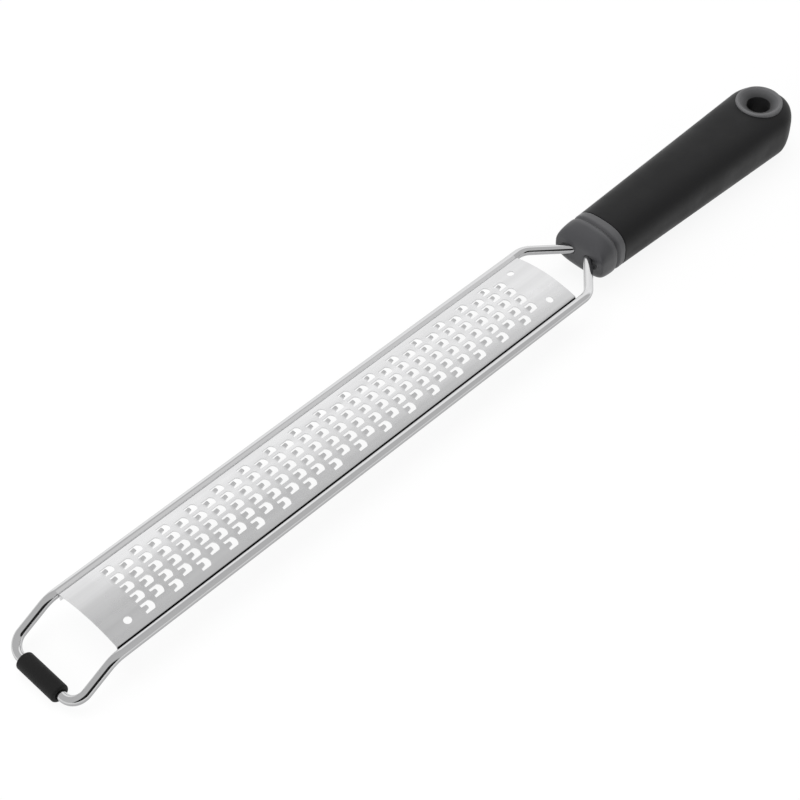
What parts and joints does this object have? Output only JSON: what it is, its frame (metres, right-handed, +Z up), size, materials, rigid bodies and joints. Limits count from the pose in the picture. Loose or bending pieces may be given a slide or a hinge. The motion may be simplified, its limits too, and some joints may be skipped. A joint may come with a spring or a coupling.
{
  "type": "rasp grater",
  "caption": "Long narrow hand grater: an arched steel plate of raised teeth spot-welded in a bent wire frame, with a rubber nose foot and a dark oval handle with a hanging eye.",
  "frame": {"origin": "centre of the bounding box's underside, on the surface that the grater lies on", "axes": "+X runs from the nose to the handle's end, +Y across to the side without a hole at the nose, +Z up from the surface through the toothed face"},
  "size_m": [0.3833, 0.0372, 0.0236],
  "materials": {
    "wire": "polished",
    "plate": "brushed",
    "core": "satin",
    "grip": "satin",
    "foot": "matte"
  },
  "bodies": {
    "root": {"wire_frame": "wire", "grater_plate": "plate", "handle_core": "core", "grip_sleeve": "grip", "nose_foot": "foot"}
  },
  "joints": []
}
